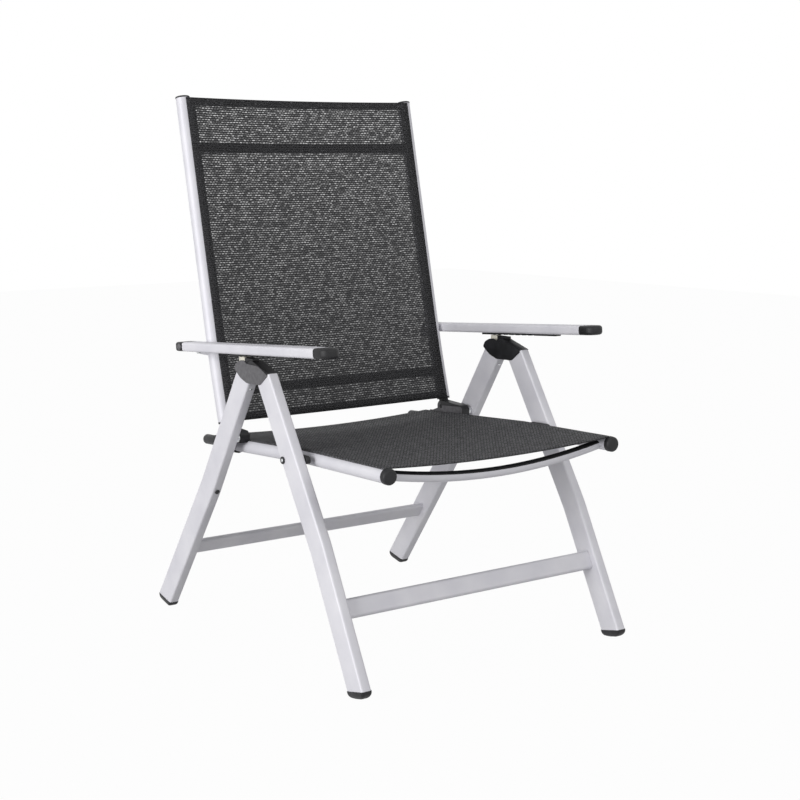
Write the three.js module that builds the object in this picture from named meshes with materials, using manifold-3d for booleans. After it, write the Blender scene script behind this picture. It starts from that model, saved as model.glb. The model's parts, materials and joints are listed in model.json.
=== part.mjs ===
// A folding high-backed patio chair with two stretched slings, in millimetres, +Z up.
// The sitter faces -Y. "left" is the side at -X, "right" the side at +X.
import * as THREE from 'three';
import { mergeVertices } from 'three/addons/utils/BufferGeometryUtils.js';
import Module from 'manifold-3d';

const wasm = await Module();
wasm.setup();

// Clearances and overruns
const seatGap = 0.3;
const cutOverrun = 2;

// Leg tubes: a rounded rectangle, with a slight bend at mid height
const legsOverall = 628;
const legThick = 21;
const legDeep = 49;
const legCorner = 7;
const legWall = 1.6;
const legBendRadius = 260;
const legBendSteps = 2;
const footFrontY = -352;
const footRearY = 404;
const frontBendY = -225.5;
const frontBendZ = 246.6;
const rearBendY = 186.5;
const rearBendZ = 293.9;
const tubeTopZ = 535;
const frontTopY = -46;
const rearTopY = 29.6;

// Feet: plastic plugs with a flat cut at the floor
const footSole = 6;
const footFlange = 1.2;
const plugDepth = 24;

// Cross rails between the legs of one frame: flat ovals
const stretcherTall = 37;
const stretcherThick = 13;
const stretcherWall = 1.5;
const frontStretcherUp = 161;
const rearStretcherUp = 182;
const stretcherForward = 3.5;

// Knuckle: two plastic halves that turn on one pin at the top of the legs
const knuckleY = -3;
const knuckleZ = 547;
const barrelRadius = 19.5;
const knuckleSplit = 0.6;
const knuckleThroatDegrees = 45;
const knucklePinRadius = 4;
const pinHeadRadius = 6;
const pinHeadHeight = 1.2;

// Armrests
const armWide = 39;
const armTall = 18.5;
const armCorner = 5;
const armWall = 1.5;
const armCentreX = 309.5;
const armSlopeDegrees = 3.83;
const armRearReach = 18;
const armFrontReach = 544;
const armCapLength = 40;
const armCapNose = 9;
const armPivotY = 258;
const armPivotZ = 570;
const armPlugFace = 2.5;
const armPlugSpigot = 8;
const armCapEdge = 2.5;
const lugThick = 14;
const crankDrop = 10;
const crankThick = 5;
const crankRadius = 7;

// Rack under each armrest, and the catch on the knuckle that carries it
const rackWide = 15;
const rackThick = 4;
const rackRearReach = 183;
const rackLength = 240;
const rackNotches = 7;
const rackPitch = 20;
const rackNotchRadius = 5;
const rackNotchDepth = 2.4;
const catchWide = 14;
const catchFrontY = -9;
const catchRearY = 42;
const catchPegRadius = 4;
const catchPegY = 27;
const catchPegProud = 1.4;
const catchShelfY = 20;

// Seat frame: two round rails, joined by a bowed tube at each end
const railRadius = 13.5;
const railWall = 1.5;
const railCentreX = 260;
const railFrontY = -372;
const railFrontZ = 398;
const railRearY = 268;
const railRearZ = 371.6;
const railBendRadius = 600;
const capBulge = 1.2;
const capLength = 13;
const bowRadius = 9.5;
const bowWall = 1.4;
const bowFrontInset = 22;
const bowRearInset = 30;
const bowDrop = 26;
const bowSteps = 6;

// Front pivot of the seat
const seatPivotY = -115;
const seatPivotZ = 393;
const boltRadius = 4;
const boltHeadRadius = 7;
const boltHeadHeight = 3.5;
const spacerRadius = 9;
const spacerNeckRadius = 6.5;
const spacerStep = 9;

// Bracket that slides on the rail, with the rear leg and the backrest hinged to it
const legPinY = 105;
const legPinZ = 400;
const legPinRadius = 5;
const legPinFlange = 8;
const backPivotY = 172;
const backPivotZ = 403;
const bracketWall = 3.5;
const bracketEyeRadius = 13;
const bracketFrontReach = 13;
const bracketRearReach = 40;
const slideClearance = 0.4;
const cheekThick = 5.5;
const tongueThick = 9;
const tongueRadius = 11;
const bracketShoulderDegrees = 20;

// Backrest: two round side tubes, curved at the lumbar, with two bowed cross tubes
const backRadius = 14;
const backWall = 1.5;
const backCentreX = 274;
const backFootAbove = 20;
const footFlangeThick = 3;
const backLumbarY = 207;
const backLumbarZ = 535;
const backMiddleY = 252;
const backMiddleZ = 735;
const backTopY = 324;
const backTopZ = 1066;
const backSteps = 10;
const halvings = 24;
const backPlugHeight = 5;
const crossRadius = 10;
const crossWall = 1.4;
const upperCrossZ = backTopZ - 100;
const lowerCrossZ = 478;
const crossBow = 24;
const lugTall = 15;

// Slings
const slingThick = 1.4;
const seatSlingFrontInset = 5;
const seatSlingRearInset = 42;
const seatSag = 9;
const backSlingBottomZ = 420;
const backSlingTopInset = 8;
const backHollow = 12;
const slingColumns = 12;
const slingRows = 10;

// Buffer on the rear leg, met by the front leg when the chair is folded
const bufferRadius = 5;
const bufferHeight = 4;
const bufferZ = 298;

// Worked out from the sizes above
const legOuterX = legsOverall / 2;
const legInnerX = legOuterX - legThick;
const legCentreX = (legOuterX + legInnerX) / 2;
const sides = [['left', -1], ['right', 1]];
const acrossX = new THREE.Vector3(1, 0, 0);
const alongY = new THREE.Vector3(0, 1, 0);

// Materials
const colours = {
  aluminium: [0xd7d7dd, 0.35, 0.75],
  blackPlastic: [0x2b2b2d, 0.55, 0],
  greyPlastic: [0x77757a, 0.5, 0],
  palePlastic: [0xc9c6ba, 0.5, 0],
  steel: [0xb8b8bc, 0.3, 1],
  sling: [0x45444a, 0.9, 0],
};

function material(name) {
  const [color, roughness, metalness] = colours[name];
  return new THREE.MeshStandardMaterial({ color, roughness, metalness });
}

// Solids and booleans
function solidOf(geometry) {
  const bare = geometry.clone();
  bare.deleteAttribute('normal');
  bare.deleteAttribute('uv');
  const merged = mergeVertices(bare);
  const vertProperties = new Float32Array(merged.attributes.position.array);
  const triVerts = new Uint32Array(merged.index.array);
  return new wasm.Manifold(new wasm.Mesh({ numProp: 3, vertProperties, triVerts }));
}

function geometryOf(solid) {
  const mesh = solid.getMesh();
  const geometry = new THREE.BufferGeometry();
  geometry.setAttribute('position', new THREE.BufferAttribute(new Float32Array(mesh.vertProperties), 3));
  geometry.setIndex(new THREE.BufferAttribute(new Uint32Array(mesh.triVerts), 1));
  geometry.computeVertexNormals();
  return geometry;
}

function join(...geometries) {
  return geometryOf(geometries.map(solidOf).reduce((whole, next) => whole.add(next)));
}

function cut(geometry, ...tools) {
  return geometryOf(tools.map(solidOf).reduce((rest, tool) => rest.subtract(tool), solidOf(geometry)));
}

// Outlines
function roundedRectangle(wide, tall, corner) {
  const x = wide / 2 - corner;
  const y = tall / 2 - corner;
  const shape = new THREE.Shape();
  shape.absarc(x, y, corner, 0, Math.PI / 2);
  shape.absarc(-x, y, corner, Math.PI / 2, Math.PI);
  shape.absarc(-x, -y, corner, Math.PI, Math.PI * 3 / 2);
  shape.absarc(x, -y, corner, Math.PI * 3 / 2, Math.PI * 2);
  return shape;
}

function boxSection(wide, tall, corner, wall) {
  const shape = roundedRectangle(wide, tall, corner);
  shape.holes.push(roundedRectangle(wide - 2 * wall, tall - 2 * wall, corner - wall));
  return shape;
}

function disc(radius) {
  return new THREE.Shape().absarc(0, 0, radius, 0, Math.PI * 2);
}

function ringSection(radius, wall) {
  const shape = disc(radius);
  shape.holes.push(disc(radius - wall));
  return shape;
}

// A route of straight runs joined by arcs, with stations only where it bends
class BentRoute extends THREE.Curve {
  constructor(corners, bendRadius, bendSteps) {
    super();
    this.stations = [];
    const heading = corners.slice(1).map((corner, i) => corner.clone().sub(corners[i]).normalize());
    this.stations.push([corners[0], heading[0]]);
    for (let i = 1; i < corners.length - 1; i++) {
      const ahead = heading[i - 1];
      const angle = ahead.angleTo(heading[i]);
      const side = heading[i].clone().addScaledVector(ahead, -Math.cos(angle)).normalize();
      const start = corners[i].clone().addScaledVector(ahead, -bendRadius * Math.tan(angle / 2));
      for (let step = 0; step <= bendSteps; step++) {
        const turned = angle * step / bendSteps;
        const point = start.clone().addScaledVector(ahead, bendRadius * Math.sin(turned));
        point.addScaledVector(side, bendRadius * (1 - Math.cos(turned)));
        const tangent = ahead.clone().multiplyScalar(Math.cos(turned));
        this.stations.push([point, tangent.addScaledVector(side, Math.sin(turned))]);
      }
    }
    this.stations.push([corners[corners.length - 1], heading[heading.length - 1]]);
  }

  get steps() {
    return this.stations.length - 1;
  }

  getPointAt(share) {
    return this.stations[Math.round(share * this.steps)][0].clone();
  }

  getTangentAt(share) {
    return this.stations[Math.round(share * this.steps)][1].clone();
  }
}

function sweep(section, route, steps, curveSegments) {
  return new THREE.ExtrudeGeometry(section, { steps, extrudePath: route, curveSegments });
}

// An outline thickened along a direction, with the outline's x laid along "across"
function block(outline, origin, direction, length, across = acrossX, curveSegments = 4) {
  const options = { depth: length, bevelEnabled: false, curveSegments };
  const up = direction.clone().cross(across);
  const basis = new THREE.Matrix4().makeBasis(across, up, direction).setPosition(origin);
  return new THREE.ExtrudeGeometry(outline, options).applyMatrix4(basis);
}

// An outline drawn in the side view (y, z), thickened between two places along X
function sidePlate(outline, xOne, xTwo, curveSegments = 12) {
  const origin = new THREE.Vector3(Math.min(xOne, xTwo), 0, 0);
  return block(outline, origin, acrossX, Math.abs(xTwo - xOne), alongY, curveSegments);
}

// A profile of [radius, distance along the axis] turned about an axis
function turned(profile, origin, direction, segments = 14) {
  const points = profile.map(([radius, along]) => new THREE.Vector2(radius, along));
  const turn = new THREE.Quaternion().setFromUnitVectors(alongY, direction);
  return new THREE.LatheGeometry(points, segments).applyQuaternion(turn)
    .translate(origin.x, origin.y, origin.z);
}

// A round bore or rod along X
function rodAlongX(radius, y, z, xOne, xTwo, segments = 14) {
  const profile = [[0, 0], [radius, 0], [radius, Math.abs(xTwo - xOne)], [0, Math.abs(xTwo - xOne)]];
  return turned(profile, new THREE.Vector3(Math.min(xOne, xTwo), y, z), acrossX, segments);
}

const chair = new THREE.Group();

function place(name, geometry, materialName) {
  const mesh = new THREE.Mesh(geometry, material(materialName));
  mesh.name = name;
  chair.add(mesh);
  return mesh;
}

// One point on every outer corner of a dome: straight side, then a quarter ellipse to the axis
function domeProfile(radius, straight, rise, steps = 4) {
  const points = [];
  for (let step = 0; step <= steps; step++) {
    const angle = Math.PI / 2 * step / steps;
    points.push([radius * Math.cos(angle), straight + rise * Math.sin(angle)]);
  }
  points[steps][0] = 0;
  return points;
}

// Leg frames
function legLine(footY, bendY, bendZ, topY) {
  const foot = new THREE.Vector2(footY, 0);
  const bend = new THREE.Vector2(bendY, bendZ);
  const top = new THREE.Vector2(topY, tubeTopZ);
  const lower = bend.clone().sub(foot).normalize();
  const upper = top.clone().sub(bend).normalize();
  const startZ = footSole + legDeep / 2 * Math.abs(lower.x);
  const start = foot.clone().addScaledVector(lower, startZ / lower.y);
  return { foot, start, bend, top, lower, upper };
}

function inSpace(x, point) {
  return new THREE.Vector3(x, point.x, point.y);
}

function legRoute(x, line) {
  return new BentRoute([line.start, line.bend, line.top].map((point) => inSpace(x, point)),
    legBendRadius, legBendSteps);
}

const frontLine = legLine(footFrontY, frontBendY, frontBendZ, frontTopY);
const rearLine = legLine(footRearY, rearBendY, rearBendZ, rearTopY);
const plugWide = legThick - 2 * legWall - 2 * seatGap;
const plugDeep = legDeep - 2 * legWall - 2 * seatGap;
const plugCorner = legCorner - legWall;

function legTube(side, line) {
  const route = legRoute(side * legCentreX, line);
  return sweep(boxSection(legThick, legDeep, legCorner, legWall), route, route.steps, 2);
}

function footPlug(side, line) {
  const x = side * legCentreX;
  const down = inSpace(0, line.lower).negate();
  const seat = inSpace(x, line.start).addScaledVector(down, seatGap);
  const sole = roundedRectangle(legThick + 2 * footFlange, legDeep + 2 * footFlange, legCorner + footFlange);
  const spigot = roundedRectangle(plugWide, plugDeep, plugCorner);
  const upIn = inSpace(x, line.start).addScaledVector(down, -plugDepth);
  const body = join(
    block(sole, seat, down, legDeep + footSole, acrossX, 3),
    block(spigot, upIn, down, plugDepth + cutOverrun, acrossX, 3));
  const floor = new THREE.BoxGeometry(legsOverall, legDeep * 4, legDeep * 2);
  return cut(body, floor.translate(x, line.foot.x, -legDeep));
}

function stretcher(line, up) {
  const ahead = inSpace(0, line.lower);
  const forward = ahead.clone().cross(acrossX).negate();
  const length = 2 * (legInnerX - seatGap);
  const origin = inSpace(-length / 2, line.foot).addScaledVector(ahead, up);
  origin.addScaledVector(forward, -stretcherForward * Math.sign(forward.y));
  const section = boxSection(stretcherTall, stretcherThick, stretcherThick / 2 - seatGap, stretcherWall);
  return block(section, origin, acrossX, length, ahead, 4);
}

// Knuckle halves, drawn in the side view round the pin
const knucklePin = new THREE.Vector2(knuckleY, knuckleZ);

function touchAngle(from, turn) {
  const away = from.clone().sub(knucklePin);
  return away.angle() + turn * Math.acos(barrelRadius / away.length());
}

function knuckleShape(line, frontHalf) {
  const rearward = new THREE.Vector2(line.upper.y, -line.upper.x).multiplyScalar(legDeep / 2);
  const seat = line.top.clone().addScaledVector(line.upper, seatGap);
  const frontCorner = seat.clone().sub(rearward);
  const rearCorner = seat.clone().add(rearward);
  const throat = THREE.MathUtils.degToRad(knuckleThroatDegrees);
  const fromAngle = frontHalf ? -Math.PI / 2 - throat : touchAngle(rearCorner, 1);
  const toAngle = frontHalf ? touchAngle(frontCorner, -1) : Math.PI * 3 / 2 + throat;
  const shape = new THREE.Shape();
  shape.absarc(knuckleY, knuckleZ, barrelRadius, fromAngle, toAngle);
  shape.lineTo(frontCorner.x, frontCorner.y);
  shape.lineTo(rearCorner.x, rearCorner.y);
  return shape;
}

function knuckleHalf(side, line, frontHalf) {
  const x = side * legCentreX;
  const body = sidePlate(knuckleShape(line, frontHalf), side * legInnerX, side * legOuterX, 12);
  const up = inSpace(0, line.upper);
  const low = inSpace(x, line.top).addScaledVector(up, -plugDepth);
  const spigot = block(roundedRectangle(plugWide, plugDeep, plugCorner), low, up,
    plugDepth + cutOverrun, acrossX, 3);
  const away = frontHalf ? legInnerX - cutOverrun : legOuterX + cutOverrun;
  const split = legCentreX + (frontHalf ? knuckleSplit : -knuckleSplit) / 2;
  const otherBarrel = rodAlongX(barrelRadius + knuckleSplit, knuckleY, knuckleZ,
    side * away, side * split, 24);
  const bore = rodAlongX(knucklePinRadius + seatGap, knuckleY, knuckleZ,
    side * (legInnerX - cutOverrun), side * (legOuterX - legWall - seatGap));
  return cut(join(body, spigot), otherBarrel, bore);
}

for (const [name, side] of sides) {
  const bolt = rodAlongX(boltRadius + seatGap, seatPivotY, seatPivotZ,
    side * (legInnerX - cutOverrun), side * (legOuterX + cutOverrun));
  place(`front_leg_${name}`, cut(legTube(side, frontLine), bolt), 'aluminium');
  const pin = rodAlongX(legPinRadius + seatGap, legPinY, legPinZ,
    side * (legInnerX - cutOverrun), side * legCentreX);
  place(`rear_leg_${name}`, cut(legTube(side, rearLine), pin), 'aluminium');
  place(`front_foot_${name}`, footPlug(side, frontLine), 'blackPlastic');
  place(`rear_foot_${name}`, footPlug(side, rearLine), 'blackPlastic');
  place(`front_knuckle_${name}`, knuckleHalf(side, frontLine, true), 'greyPlastic');
  place(`rear_knuckle_${name}`, knuckleHalf(side, rearLine, false), 'greyPlastic');
}
place('front_stretcher', stretcher(frontLine, frontStretcherUp), 'aluminium');
place('rear_stretcher', stretcher(rearLine, rearStretcherUp), 'aluminium');

// Rivet pin of each knuckle, blind in the outer half
function knuckleRivet(side) {
  const x = side * (legInnerX - seatGap);
  const reach = legThick - legWall - 2 * seatGap;
  const inward = acrossX.clone().multiplyScalar(-side);
  const profile = [[0, -reach], [knucklePinRadius, -reach], [knucklePinRadius, 0], [pinHeadRadius, 0],
    [pinHeadRadius - pinHeadHeight / 2, pinHeadHeight], [0, pinHeadHeight]];
  return turned(profile, new THREE.Vector3(x, knuckleY, knuckleZ), inward);
}

// Armrest frame: local Y runs along the armrest, with its pivot at the origin
const armSlope = THREE.MathUtils.degToRad(armSlopeDegrees);
const armInnerX = armCentreX - armWide / 2;
const armOuterX = armCentreX + armWide / 2;
const armTubeFront = armFrontReach - armCapLength;
const armForward = new THREE.Vector3(0, -1, 0);
const rackTop = -armTall / 2 - seatGap;
const rackBottom = rackTop - rackThick;

function onArm(geometry) {
  return geometry.rotateX(-armSlope).translate(0, armPivotY, armPivotZ);
}

function armPoint(along, above) {
  const point = new THREE.Vector3(0, -along, above).applyAxisAngle(acrossX, -armSlope);
  return new THREE.Vector2(point.y + armPivotY, point.z + armPivotZ);
}

function armTube(side) {
  const origin = new THREE.Vector3(side * armCentreX, armRearReach, 0);
  const length = armTubeFront + armRearReach;
  const section = boxSection(armWide, armTall, armCorner, armWall);
  const tube = block(section, origin, armForward, length, acrossX, 3);
  const bore = rodAlongX(boltRadius + seatGap, 0, 0,
    side * (armInnerX - cutOverrun), side * (armOuterX + cutOverrun));
  return onArm(cut(tube, bore));
}

// The section that slips into an armrest tube
function armInside() {
  const less = 2 * (armWall + seatGap);
  return roundedRectangle(armWide - less, armTall - less, armCorner - armWall);
}

function armSpigot(side, along, direction) {
  const origin = new THREE.Vector3(side * armCentreX, along, 0);
  return block(armInside(), origin, direction, plugDepth / 2 + cutOverrun, acrossX, 3);
}

function armCap(side) {
  const half = armWide / 2 - armCapEdge;
  const long = armCapLength - 2 * armCapEdge - seatGap;
  const outline = new THREE.Shape();
  outline.moveTo(-half, 0);
  outline.lineTo(half, 0);
  outline.absarc(half - armCapNose, long - armCapNose, armCapNose, 0, Math.PI / 2);
  outline.absarc(armCapNose - half, long - armCapNose, armCapNose, Math.PI / 2, Math.PI);
  const tall = armTall - 2 * armCapEdge;
  const body = new THREE.ExtrudeGeometry(outline, {
    depth: tall, bevelThickness: armCapEdge, bevelSize: armCapEdge, bevelSegments: 2, curveSegments: 3,
  });
  body.rotateZ(Math.PI).translate(side * armCentreX, -armTubeFront - seatGap - armCapEdge, -tall / 2);
  const spigot = armSpigot(side, -armTubeFront + plugDepth / 2, armForward);
  return onArm(join(body, spigot));
}

function armRearPlug(side) {
  const origin = new THREE.Vector3(side * armCentreX, armRearReach + seatGap, 0);
  const face = block(roundedRectangle(armWide, armTall, armCorner), origin, alongY, armPlugFace, acrossX, 3);
  const start = origin.clone().addScaledVector(alongY, -armPlugSpigot);
  const spigot = block(armInside(), start, alongY, armPlugSpigot + armPlugFace / 2, acrossX, 3);
  return onArm(join(face, spigot));
}

// Cranked bolt: its upper end turns in the armrest, its lower end in the lug on the back tube
const crankOuterX = armInnerX - seatGap;
const crankInnerX = crankOuterX - crankThick;
const crankZ = armPivotZ - crankDrop;

function armBolt(side) {
  const x = side * (armOuterX + seatGap);
  const reach = armOuterX - crankInnerX - seatGap;
  const profile = [[0, -reach], [boltRadius, -reach], [boltRadius, 0], [boltHeadRadius, 0],
    [boltHeadRadius, boltHeadHeight / 2], [boltHeadRadius - boltHeadHeight / 2, boltHeadHeight],
    [0, boltHeadHeight]];
  const outward = acrossX.clone().multiplyScalar(side);
  const shank = turned(profile, new THREE.Vector3(x, armPivotY, armPivotZ), outward);
  const outline = new THREE.Shape();
  outline.absarc(armPivotY, armPivotZ, crankRadius, 0, Math.PI);
  outline.absarc(armPivotY, crankZ, crankRadius, Math.PI, Math.PI * 2);
  const web = sidePlate(outline, side * crankInnerX, side * crankOuterX, 6);
  const journal = rodAlongX(boltRadius, armPivotY, crankZ,
    side * (crankOuterX - crankThick / 2), side * (crankOuterX - lugThick));
  return join(shank, web, journal);
}

// Rack: a strip under the armrest whose lower edge has round notches
function rackShape() {
  const shape = new THREE.Shape();
  shape.moveTo(-rackRearReach, rackTop);
  shape.lineTo(-rackRearReach, rackBottom);
  const sink = rackNotchRadius - rackNotchDepth;
  const half = Math.acos(sink / rackNotchRadius);
  const pegAlong = (armPivotY - catchPegY) / Math.cos(armSlope);
  for (let notch = 0; notch < rackNotches; notch++) {
    const middle = -(pegAlong + rackPitch * notch);
    shape.absarc(middle, rackBottom - sink, rackNotchRadius, Math.PI / 2 - half, Math.PI / 2 + half);
  }
  shape.lineTo(-rackRearReach - rackLength, rackBottom);
  shape.lineTo(-rackRearReach - rackLength, rackTop);
  return shape;
}

function rack(side) {
  const middle = side * armCentreX;
  return onArm(sidePlate(rackShape(), middle - rackWide / 2, middle + rackWide / 2, 4));
}

// Catch: a block on the knuckle's barrel with a peg just under a notch of the rack
function armCatch(side) {
  const seat = barrelRadius + seatGap;
  const pegTop = armPoint((armPivotY - catchPegY) / Math.cos(armSlope), rackBottom - seatGap).y;
  const top = pegTop - catchPegProud;
  const rearCorner = rearShoulder();
  const touchAt = touchAngle(rearCorner, 1);
  const touchPoint = knucklePin.clone().add(
    new THREE.Vector2(Math.cos(touchAt), Math.sin(touchAt)).multiplyScalar(seat));
  const fall = (touchPoint.y - rearCorner.y - seatGap) / (rearCorner.x - touchPoint.x);
  const shelfZ = touchPoint.y - fall * (catchShelfY - touchPoint.x) + seatGap;
  const frontAngle = Math.acos((catchFrontY - knuckleY) / seat);
  const shape = new THREE.Shape();
  shape.absarc(knuckleY, knuckleZ, seat, frontAngle, touchAt, true);
  shape.lineTo(catchShelfY, shelfZ);
  shape.lineTo(catchRearY, shelfZ);
  shape.lineTo(catchRearY, top);
  shape.lineTo(catchFrontY, top);
  const middle = side * (legCentreX + legThick / 2 - catchWide / 2);
  const ends = [middle - catchWide / 2, middle + catchWide / 2];
  const peg = rodAlongX(catchPegRadius, catchPegY, pegTop - catchPegRadius, ...ends);
  return join(sidePlate(shape, ...ends), peg);
}

function rearShoulder() {
  const rearward = new THREE.Vector2(rearLine.upper.y, -rearLine.upper.x).multiplyScalar(legDeep / 2);
  return rearLine.top.clone().addScaledVector(rearLine.upper, seatGap).add(rearward);
}

for (const [name, side] of sides) {
  place(`knuckle_rivet_${name}`, knuckleRivet(side), 'steel');
  place(`armrest_catch_${name}`, armCatch(side), 'palePlastic');
  place(`armrest_${name}`, armTube(side), 'aluminium');
  place(`armrest_front_cap_${name}`, armCap(side), 'blackPlastic');
  place(`armrest_rear_plug_${name}`, armRearPlug(side), 'blackPlastic');
  place(`armrest_rack_${name}`, rack(side), 'blackPlastic');
  place(`armrest_bolt_${name}`, armBolt(side), 'steel');
}

// Seat rails
function railRoute(x) {
  const corners = [[railRearY, railRearZ], [seatPivotY, seatPivotZ], [railFrontY, railFrontZ]];
  return new BentRoute(corners.map(([y, z]) => new THREE.Vector3(x, y, z)), railBendRadius, 2);
}

const railRearLine = new THREE.Vector2(railRearY - seatPivotY, railRearZ - seatPivotZ).normalize();
const railFrontLine = new THREE.Vector2(railFrontY - seatPivotY, railFrontZ - seatPivotZ).normalize();

function railHeight(y) {
  const line = y > seatPivotY ? railRearLine : railFrontLine;
  return seatPivotZ + (y - seatPivotY) * line.y / line.x;
}

function railSolid(side, clearance) {
  const route = railRoute(side * railCentreX);
  return sweep(disc(railRadius + clearance), route, route.steps, 8);
}

function rail(side) {
  const route = railRoute(side * railCentreX);
  const tube = sweep(ringSection(railRadius, railWall), route, route.steps, 8);
  const bore = rodAlongX(boltRadius + seatGap, seatPivotY, seatPivotZ,
    side * railCentreX, side * (railCentreX + railRadius + cutOverrun));
  return cut(tube, bore);
}

function railCap(side, y, z, line) {
  const bore = railRadius - railWall - seatGap;
  const outer = railRadius + capBulge;
  const profile = [[0, -plugDepth], [bore, -plugDepth], [bore, seatGap], [outer, seatGap],
    ...domeProfile(outer, capLength / 3, capLength * 2 / 3)];
  return turned(profile, new THREE.Vector3(side * railCentreX, y, z), inSpace(0, line));
}

function bow(y, z) {
  const curve = new THREE.QuadraticBezierCurve3(new THREE.Vector3(-railCentreX, y, z),
    new THREE.Vector3(0, y, z - 2 * bowDrop), new THREE.Vector3(railCentreX, y, z));
  const tube = sweep(ringSection(bowRadius, bowWall), curve, bowSteps, 6);
  return cut(tube, railSolid(-1, seatGap), railSolid(1, seatGap));
}

function seatBolt(side) {
  const x = side * (legOuterX + seatGap);
  const reach = legOuterX - railCentreX - seatGap;
  const profile = [[0, -reach], [boltRadius, -reach], [boltRadius, 0], [boltHeadRadius, 0],
    [boltHeadRadius, boltHeadHeight / 2], [boltHeadRadius - boltHeadHeight / 2, boltHeadHeight],
    [0, boltHeadHeight]];
  return turned(profile, new THREE.Vector3(x, seatPivotY, seatPivotZ), acrossX.clone().multiplyScalar(side));
}

function seatSpacer(side) {
  const bore = boltRadius + seatGap;
  const length = legInnerX - seatGap - railCentreX;
  const profile = [[bore, 0], [spacerNeckRadius, 0], [spacerNeckRadius, length - spacerStep],
    [spacerRadius, length - spacerStep], [spacerRadius, length], [bore, length], [bore, 0]];
  const spacer = turned(profile, new THREE.Vector3(side * railCentreX, seatPivotY, seatPivotZ),
    acrossX.clone().multiplyScalar(side));
  return cut(spacer, railSolid(side, seatGap));
}

for (const [name, side] of sides) {
  place(`seat_rail_${name}`, rail(side), 'aluminium');
  place(`rail_front_cap_${name}`, railCap(side, railFrontY, railFrontZ, railFrontLine), 'blackPlastic');
  place(`rail_rear_cap_${name}`, railCap(side, railRearY, railRearZ, railRearLine), 'blackPlastic');
  place(`seat_bolt_${name}`, seatBolt(side), 'steel');
  place(`seat_spacer_${name}`, seatSpacer(side), 'blackPlastic');
}
const bowFrontY = railFrontY + bowFrontInset;
const bowRearY = railRearY - bowRearInset;
place('seat_front_bow', bow(bowFrontY, railHeight(bowFrontY)), 'aluminium');
place('seat_rear_bow', bow(bowRearY, railHeight(bowRearY)), 'aluminium');

// Brackets that slide on the rails
function bracketShape() {
  const shape = new THREE.Shape();
  const rearY = backPivotY + bracketRearReach;
  const lowZ = railHeight(rearY);
  const slope = THREE.MathUtils.degToRad(bracketShoulderDegrees);
  shape.absarc(legPinY, legPinZ, bracketEyeRadius, Math.PI / 2, Math.PI);
  shape.lineTo(legPinY - bracketEyeRadius, lowZ);
  shape.lineTo(rearY, lowZ);
  shape.lineTo(rearY, lowZ + railRadius);
  shape.absarc(backPivotY, backPivotZ, bracketEyeRadius, -slope, Math.PI / 2);
  return shape;
}

function bracket(side) {
  const innerX = backCentreX - tongueThick / 2 - seatGap - cheekThick;
  const outerX = backCentreX + tongueThick / 2 + seatGap + cheekThick;
  const plate = sidePlate(bracketShape(), side * innerX, side * outerX, 5);
  const frontY = legPinY - bracketFrontReach;
  const start = new THREE.Vector3(side * railCentreX, frontY, railHeight(frontY));
  const length = (backPivotY + bracketRearReach - frontY) / railRearLine.x;
  const rearward = inSpace(0, railRearLine);
  const bore = railRadius + slideClearance;
  const sleeve = block(ringSection(bore + bracketWall, bracketWall), start, rearward, length, acrossX, 8);
  const tall = 4 * railRadius;
  const wide = 4 * railRadius;
  const openTop = new THREE.BoxGeometry(wide, 2 * length, tall);
  const openZ = railHeight(frontY) - railRadius / 3;
  openTop.translate(side * (innerX - wide / 2), backPivotY, openZ + tall / 2);
  const tongueSlot = sidePlate(tongueSlotShape(), side * (backCentreX - tongueThick / 2 - seatGap),
    side * (backCentreX + tongueThick / 2 + seatGap), 10);
  const pinBore = rodAlongX(boltRadius + seatGap, backPivotY, backPivotZ,
    side * (innerX - cutOverrun), side * (outerX + cutOverrun));
  const clear = block(disc(bore), start.clone().addScaledVector(rearward, -cutOverrun), rearward,
    length + 2 * cutOverrun, acrossX, 8);
  return cut(join(cut(sleeve, openTop), plate), clear, tongueSlot, pinBore);
}

// The slot between the cheeks is round below the pivot and open above and behind
function tongueSlotShape() {
  const radius = tongueRadius + slideClearance;
  const reach = bracketRearReach + cutOverrun;
  const shape = new THREE.Shape();
  shape.absarc(backPivotY, backPivotZ, radius, Math.PI, Math.PI * 3 / 2);
  shape.lineTo(backPivotY + reach, backPivotZ - radius);
  shape.lineTo(backPivotY + reach, backPivotZ + reach);
  shape.lineTo(backPivotY - radius, backPivotZ + reach);
  return shape;
}

function hingeBolt(side) {
  const outerX = backCentreX + tongueThick / 2 + seatGap + cheekThick + seatGap;
  const reach = tongueThick + 2 * cheekThick + 2 * seatGap;
  const profile = [[0, -reach], [boltRadius, -reach], [boltRadius, 0], [boltHeadRadius, 0],
    [boltHeadRadius - boltHeadHeight / 2, boltHeadHeight], [0, boltHeadHeight]];
  return turned(profile, new THREE.Vector3(side * outerX, backPivotY, backPivotZ),
    acrossX.clone().multiplyScalar(side));
}

// Stub pin on the rear leg: it points at the bracket and stops just short of it
function legPin(side) {
  const bracketX = backCentreX + tongueThick / 2 + seatGap + cheekThick;
  const out = acrossX.clone().multiplyScalar(side);
  const length = legCentreX - seatGap - bracketX - seatGap;
  const flange = legInnerX - seatGap - bracketX - seatGap;
  const profile = [[0, 0], [legPinFlange, 0], [legPinFlange, flange], [legPinRadius, flange],
    [legPinRadius, length], [0, length]];
  return turned(profile, new THREE.Vector3(side * (bracketX + seatGap), legPinY, legPinZ), out);
}

// Backrest tubes, one smooth curve from the hinge to the top
const backPivot = new THREE.Vector2(backPivotY, backPivotZ);
const footHeading = new THREE.Vector2(backLumbarY, backLumbarZ).sub(backPivot).normalize();

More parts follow.
